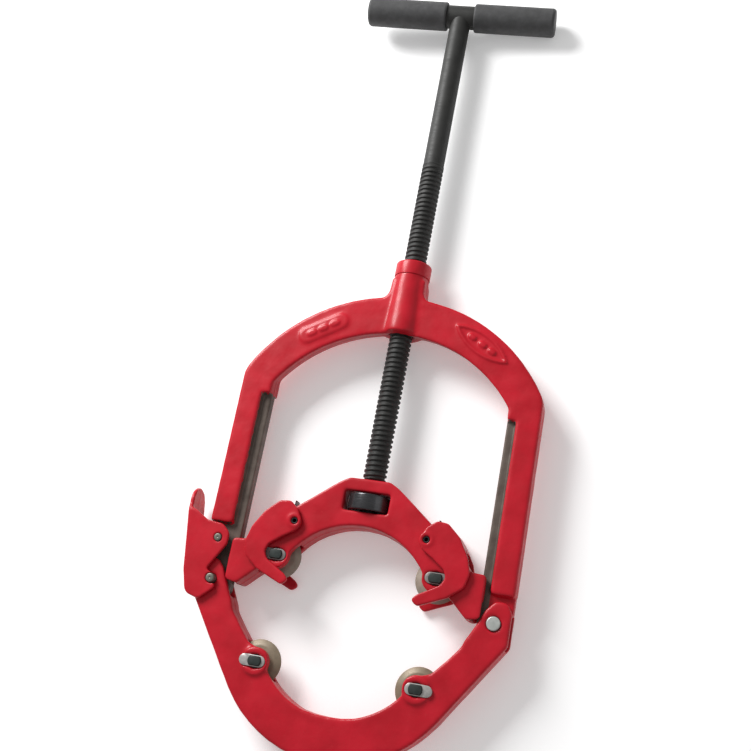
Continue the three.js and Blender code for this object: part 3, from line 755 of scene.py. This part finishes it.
COLLAR_INSET = 0.05
WELD_RADIUS = 1.1
WELD_GAP = 0.1
GRIP_CAP = 3.2  # thickness of a grip's closed end


def thread_radius(turns):
    """Radius of a trapezoidal thread, where the whole part of turns doesn't count."""
    phase = turns % 1.0
    rise = SCREW_RADIUS - THREAD_ROOT
    if phase < CREST_SHARE:
        return SCREW_RADIUS
    if phase < CREST_SHARE + FLANK_SHARE:
        return SCREW_RADIUS - rise * (phase - CREST_SHARE) / FLANK_SHARE
    if phase < 1 - FLANK_SHARE:
        return THREAD_ROOT
    return THREAD_ROOT + rise * (phase - 1 + FLANK_SHARE) / FLANK_SHARE


def make_thread():
    """Closed threaded rod along Y: right-hand, running out into the shank and the spindle."""
    segments = 40
    rows_per_turn = 12
    rows = int((THREAD_TOP - THREAD_START) / LEAD * rows_per_turn)
    mesh = bpy.data.meshes.new("thread")
    shape = bmesh.new()

    def ring(y, radius_at):
        verts = []
        for i in range(segments):
            angle = 2 * math.pi * i / segments
            radius = radius_at(angle)
            verts.append(shape.verts.new((radius * math.sin(angle), y, radius * math.cos(angle))))
        return verts

    def plain(radius):
        return lambda angle: radius

    chamfer = 0.8
    bottom = tool_box("feed_screw")[0].y
    rings = [ring(bottom, plain(SPINDLE_RADIUS - chamfer))]
    rings.append(ring(bottom + chamfer, plain(SPINDLE_RADIUS)))
    rings.append(ring(THREAD_START - 1, plain(SPINDLE_RADIUS)))
    for row in range(rows + 1):
        y = THREAD_START + (THREAD_TOP - THREAD_START) * row / rows
        begun = min(1.0, (y - THREAD_START) / LOWER_RUN_OUT)
        fade = min(1.0, (THREAD_TOP - y) / UPPER_RUN_OUT)

        def threaded(angle, y=y, begun=begun, fade=fade):
            cut = thread_radius(y / LEAD - angle / (2 * math.pi))
            depth = (SCREW_RADIUS - cut) * fade
            limit = SPINDLE_RADIUS + RUN_OUT_START + RUN_OUT_RISE * begun
            return min(SCREW_RADIUS - depth, limit)

        rings.append(ring(y, threaded))
    rings.append(ring(THREAD_TOP + 0.5, plain(SHANK_RADIUS)))
    rings.append(ring(tool_box("feed_screw")[1].y, plain(SHANK_RADIUS)))
    for low, high in zip(rings, rings[1:]):
        for i in range(segments):
            j = (i + 1) % segments
            shape.faces.new((low[i], low[j], high[j], high[i]))
    shape.faces.new(rings[0])
    shape.faces.new(list(reversed(rings[-1])))
    shape.to_mesh(mesh)
    shape.free()
    orient(mesh)
    return mesh


def handle_matrix():
    """Turns +X onto the line through the two grips, about the screw's axis."""
    left = sum(tool_box("grip_left"), Vector()) / 2
    right = sum(tool_box("grip_right"), Vector()) / 2
    along = right - left
    turn = math.atan2(along.z, along.x)
    return Matrix.Rotation(-turn, 4, "Y")


def thrust_collar():
    low, high = tool_box("thrust_collar")
    bore = SPINDLE_RADIUS + CLEARANCE
    radius = high.x - COLLAR_INSET
    profile = [
        (bore, low.y, 0.3), (radius, low.y, 1.2), (radius, high.y, 1.2),
        (bore, high.y, 0.3), (bore, low.y + 0.4, 0),
    ]
    return lathe(profile, "Y", closed=True)


def make_screw(black):
    node = "feed_screw"
    finish_piece(f"{node}_threaded", make_thread(), black, "screw", "black_steel", node, sharp=25)
    polished = steel("polished_black_steel")
    collar = thrust_collar()
    finish_piece("thrust_collar_turned", collar, polished, "screw", "black_steel", "thrust_collar")


def weld_bead(height):
    """Fillet weld round the shank, where it meets the underside of the handle bar."""
    radius = SHANK_RADIUS + WELD_GAP
    steps = 96
    points = []
    for i in range(steps):
        angle = 2 * math.pi * i / steps
        x, z = radius * math.cos(angle), radius * math.sin(angle)
        y = height - math.sqrt(HANDLE_BAR_RADIUS ** 2 - z ** 2)
        points.append(Vector((x, y, z)))
    return tube(points, WELD_RADIUS, closed=True)


def grip_sleeve(word, bore, height):
    """Sleeve with a closed outer end, along X."""
    side = SIDES[word]
    inner, outer = (side * reach for reach in grip_reach(word))
    low, high = tool_box(f"grip_{word}")
    radius = (high.y - low.y) / 2
    floor = outer - side * GRIP_CAP
    profile = [
        (bore, inner, 0.4), (radius - 0.5, inner, 0.8), (radius, inner + side * 1.4, 1.0),
        (radius, outer - side * 2.0, 1.5), (radius - 1.2, outer, 1.2), (0, outer, 0),
        (0, floor, 0), (bore, floor, 0), (bore, inner + side * 0.5, 0),
    ]
    return lathe(profile, "X", (0, height, 0), closed=True)


def make_handle(black):
    rest = handle_matrix()
    rubber = grip_rubber()
    low, high = tool_box("handle_bar")
    height = (low.y + high.y) / 2
    radius = (high.y - low.y) / 2
    for word in SIDES:
        grip = grip_sleeve(word, radius + CLEARANCE, height)
        grip.transform(rest)
        finish_piece(f"grip_{word}_sleeve", grip, rubber, "screw", "grip_rubber", f"grip_{word}")
    core = grip_reach("right")[1] - GRIP_CAP - CLEARANCE
    profile = [(0, -core), (radius, -core, 0.6), (radius, core, 0.6), (0, core)]
    bar = lathe(profile, "X", (0, height, 0))
    both = merge(bar, weld_bead(height))
    both.transform(rest)
    finish_piece("handle_bar_turned", both, black, "screw", "black_steel", "handle_bar")


def grip_reach(word):
    """Distances from the screw's axis to a grip's inner and outer ends."""
    flat = cad_mesh(f"grip_{word}")
    flat.transform(handle_matrix().inverted())
    reach = [abs(v.co.x) for v in flat.vertices]
    bpy.data.meshes.remove(flat)
    return min(reach), max(reach)


# ---- pins ----


HINGE_PIN_CHAMFER = 0.9
LATCH_PIN_CHAMFER = 1.1
CENTRE_MARK = 0.7  # depth
MARK_SLOPE = 1.3  # a centre mark's radius over its depth
COLLAR_PIN_RADIUS = 2
ROLL_PIN_WALL = 1.0


def pin_mesh(node, chamfer, dimple=0.0):
    """Turned pin along Z with rounded ends, and a centre mark if it has one."""
    low, high = tool_box(node)
    middle = (low + high) / 2
    radius = (high.x - low.x) / 2
    ends = []
    for z, sign in ((low.z, 1), (high.z, -1)):
        inner = [(0, z + sign * dimple), (dimple * MARK_SLOPE, z, 0.1)] if dimple else [(0, z)]
        edge = [(radius, z, chamfer)]
        ends.append(inner + edge)
    return lathe(ends[0] + ends[1][::-1], "Z", (middle.x, middle.y, 0), 40)


def make_pins(bright):
    dull = steel("turned_pin_steel")
    dark = steel("blackened_spring_steel")
    hinge_pin = pin_mesh("hinge_pin", HINGE_PIN_CHAMFER)
    finish_piece("hinge_pin_turned", hinge_pin, bright, "lower", "bright_steel", "hinge_pin")
    for node, body in (("latch_catch_pin", "lower"), ("latch_pivot_pin", "frame")):
        mesh = pin_mesh(node, LATCH_PIN_CHAMFER, CENTRE_MARK)
        finish_piece(f"{node}_turned", mesh, dull, body, "pin_steel", node)
    finish_piece("collar_pin_turned", collar_pin(), dull, "screw", "pin_steel", "collar_pin")
    for word in SIDES:
        node = f"guide_pin_{word}"
        finish_piece(f"{node}_rolled", roll_pin(node), dark, "slide", "black_steel", node)
        leaf = NODES[f"guide_spring_{word}"].data
        leaf.materials.clear()
        leaf.materials.append(dark)


def collar_pin():
    """Cross pin through the thrust collar, in line with the handle."""
    low, high = tool_box("collar_pin")
    half = (high.x - low.x) / 2
    radius = COLLAR_PIN_RADIUS
    profile = [(0, -half), (radius, -half, 0.6), (radius, half, 0.6), (0, half)]
    mesh = lathe(profile, "X", (0, (low.y + high.y) / 2, 0), 24)
    mesh.transform(handle_matrix())
    return mesh


def roll_pin(node):
    """Rolled spring pin: a thick-walled tube."""
    low, high = tool_box(node)
    middle = (low + high) / 2
    outer = (high.x - low.x) / 2
    inner = outer - ROLL_PIN_WALL
    profile = [
        (inner, low.z, 0.25), (outer, low.z, 0.5), (outer, high.z, 0.5),
        (inner, high.z, 0.25), (inner, low.z + 0.5, 0),
    ]
    return lathe(profile, "Z", (middle.x, middle.y, 0), 32, closed=True)


# ---- wheels ----


# Half a section of a cutting wheel: radius, height over its middle and corner radius.
WHEEL_SECTION = [
    (WHEEL_BORE, 4.5, 0.3), (7.6, 4.5, 0.5), (8.0, 3.0, 0.6), (8.7, 2.35, 0.5), (9.5, 2.1, 0.3),
    (12.2, 1.9, 0.4), (12.8, 1.75, 0.2), (16.9, 0.12, 0.0), (17.0, 0.0, 0.0),
]
WHEEL_CLOSING = [(WHEEL_BORE, 4.0, 0)]  # a last point in the bore


def wheel_mesh(joint):
    """Hardened cutting wheel: a ground edge, hollow sides and a raised hub."""
    back = [(radius, -z, corner) for radius, z, corner in reversed(WHEEL_SECTION[:-1])]
    profile = WHEEL_SECTION + back + WHEEL_CLOSING
    return lathe(profile, "Z", tool_point(joint), 96, closed=True, steps=3)


def station_meshes(station, point):
    """Wheel pin with two flats on its end, and its keeper, round one wheel."""
    pin_low, pin_high = tool_box(f"wheel_pin_{station}")
    keeper_low, keeper_high = tool_box(f"pin_keeper_{station}")
    place = (point.x, point.y, 0)
    radius = WHEEL_PIN_RADIUS
    profile = [(0, pin_low.z), (radius, pin_low.z, 0.7), (radius, FRAME_HALF, 0.3), (0, FRAME_HALF)]
    shaft = lathe(profile, "Z", place, 40)
    head = slab(flatted(radius, HEAD_HALF), FRAME_HALF - 1, pin_high.z, HEAD_EDGE)
    head.transform(Matrix.Translation(place))
    plate = pill(keeper_low.x - point.x, keeper_high.x - point.x, KEEPER_HALF)
    slot = flatted(radius + CLEARANCE, HEAD_HALF + CLEARANCE)
    keeper = slotted_plate(plate, slot, keeper_low.z, keeper_high.z, EDGE)
    keeper.transform(Matrix.Translation(place))
    return merge(shaft, head), keeper


def ray_reach(outline, angle):
    """Distance from the origin to an outline round it, at an angle."""
    ray = Vector((math.cos(angle), math.sin(angle)))
    for a, b in zip(outline, outline[1:] + outline[:1]):
        a, b = Vector(a), Vector(b)
        side_a, side_b = ray.cross(a), ray.cross(b)
        if side_a <= 0 < side_b:
            hit = a.lerp(b, side_a / (side_a - side_b))
            if hit.dot(ray) > 0:
                return hit.length
    return Vector(outline[0]).length


def slotted_plate(outer, inner, z0, z1, edge, steps=72):
    """Flat plate with a slot through it and rounded outer edges."""
    mesh = bpy.data.meshes.new("slotted_plate")
    shape = bmesh.new()
    bevel = 0.3 * edge
    rows = [
        (outer, z0, 0), (outer, z1 - edge, 0), (outer, z1 - bevel, bevel), (outer, z1, edge),
        (inner, z1, 0), (inner, z0, 0),
    ]
    rings = []
    for outline, z, inset in rows:
        ring = []
        for i in range(steps):
            angle = 2 * math.pi * (i + 0.5) / steps
            reach = ray_reach(outline, angle) - inset
            ring.append(shape.verts.new((reach * math.cos(angle), reach * math.sin(angle), z)))
        rings.append(ring)
    for low, high in zip(rings, rings[1:] + rings[:1]):
        for i in range(steps):
            j = (i + 1) % steps
            shape.faces.new((low[i], low[j], high[j], high[i]))
    shape.to_mesh(mesh)
    shape.free()
    orient(mesh)
    return mesh


def flatted(radius, half, steps=8):
    """Outline of a round bar with two flats, which are along X at half to either side."""
    reach = math.asin(half / radius)
    points = []
    for middle in (0, math.pi):
        for step in range(steps + 1):
            angle = middle - reach + 2 * reach * step / steps
            points.append((radius * math.cos(angle), radius * math.sin(angle)))
    return points


def make_wheels():
    black = steel("blackened_pin_steel")
    rows = {
        "lower": ("lower", steel("straw_wheel_steel"), steel("keeper_steel")),
        # The upper row's keepers take the darker copy of the keeper steel, which is painted shade
        # under the guides.
        "upper": ("slide", steel("grey_wheel_steel"), steel("guide_shaded_keeper_steel")),
    }
    for row, (body, wheel_steel, keeper_steel) in rows.items():
        for word in SIDES:
            station = f"{row}_{word}"
            joint = f"wheel_{station}_spin"
            node = f"cutter_wheel_{station}"
            rider = f"wheel_{station}"
            wheel = wheel_mesh(joint)
            finish_piece(f"{node}_ground", wheel, wheel_steel, rider, "wheel_steel", node, sharp=50)
            pin, keeper = station_meshes(station, tool_point(joint))
            node = f"wheel_pin_{station}"
            finish_piece(f"{node}_headed", pin, black, body, "black_steel", node)
            node = f"pin_keeper_{station}"
            finish_piece(f"{node}_pressed", keeper, keeper_steel, body, "bright_steel", node)


# ---- springs ----


SPRING_WIRE = 0.7  # radius
SPRING_TURNS = 2


def make_latch_spring(bright):
    """Torsion spring, wound round the latch's pivot pin."""
    low, high = tool_box("latch_spring")
    pivot = tool_point("latch_pivot")
    radius = (high.x - low.x) / 2 - SPRING_WIRE
    rise = high.z - low.z - 2 * SPRING_WIRE
    steps = 32 * SPRING_TURNS
    points = []
    for i in range(steps + 1):
        angle = 2 * math.pi * SPRING_TURNS * i / steps
        x = pivot.x + radius * math.cos(angle)
        y = pivot.y + radius * math.sin(angle)
        points.append(Vector((x, y, low.z + SPRING_WIRE + rise * i / steps)))
    node = "latch_spring"
    coil = tube(points, SPRING_WIRE)
    finish_piece(f"{node}_coil", coil, bright, "frame", "bright_steel", node, sharp=60)


# ---- camera, light and floor ----


CAMERA_PLACE = (226.6, -91.8, 843.5)  # from the tool's origin, in millimetres
CAMERA_TURN = (19.711, 12.512, 10.718)  # degrees
CAMERA_LENS = 55.72
CAMERA_SENSOR = 36
CAMERA_NEAR = 0.05  # metres

# Soft boxes, in metres and watts: where each stands, what it faces, its side and its power.
LIGHTS = {
    "key": {"place": (-0.95, 0.85, 0.85), "target": (0, 0.05, 0), "side": 0.7, "power": 33.5},
    "right_fill": {"place": (1.25, 0.1, 0.8), "target": (0, 0, 0), "side": 0.8, "power": 1.2},
}
SKY_STRENGTH = 0.36

FLOOR_HALF = 6.0  # metres
FLOOR_DROP = 0.0005
FLOOR_COLOUR = (0.92, 0.92, 0.92, 1)
WHITE = (1, 1, 1, 1)


def add_camera():
    data = bpy.data.cameras.new("camera")
    data.sensor_width = CAMERA_SENSOR
    data.lens = CAMERA_LENS
    data.clip_start = CAMERA_NEAR
    camera = link("camera", data)
    camera.location = ORIGIN + Vector(CAMERA_PLACE) * MM
    camera.rotation_euler = [math.radians(angle) for angle in CAMERA_TURN]
    bpy.context.scene.camera = camera


def add_light(name, place, target, side, power):
    data = bpy.data.lights.new(name, "AREA")
    data.shape = "RECTANGLE"
    data.size = side
    data.size_y = side
    data.energy = power
    lamp = link(name, data)
    lamp.location = place
    lamp.rotation_euler = (Vector(target) - Vector(place)).to_track_quat("-Z", "Y").to_euler()


def add_studio():
    """Soft boxes low round the tool: flat faces keep their colour and edges catch light."""
    for name, light in LIGHTS.items():
        add_light(name, **light)
    world = bpy.data.worlds.new("studio")
    world.use_nodes = True
    background = world.node_tree.nodes["Background"]
    background.inputs["Color"].default_value = WHITE
    background.inputs["Strength"].default_value = SKY_STRENGTH
    bpy.context.scene.world = world
    bpy.context.scene.view_settings.view_transform = "Standard"


def add_floor():
    mesh = bpy.data.meshes.new("floor")
    half = FLOOR_HALF
    corners = [(-half, -half, 0), (half, -half, 0), (half, half, 0), (-half, half, 0)]
    mesh.from_pydata(corners, [], [(0, 1, 2, 3)])
    shader = Shader("pale_floor")
    shader.set(Base_Color=FLOOR_COLOUR, Roughness=0.8, Specular_IOR_Level=0.1)
    shader.set(Emission_Color=WHITE, Emission_Strength=0.25)
    mesh.materials.append(shader.material)
    floor = link("floor", mesh)
    floor.location.z = -FLOOR_DROP


def make_pieces():
    make_castings()
    black = steel("black_oxide_steel")
    make_screw(black)
    make_handle(black)
    bright = steel("bright_steel")
    make_pins(bright)
    make_wheels()
    make_latch_spring(bright)


add_camera()
add_floor()
add_studio()
make_pieces()
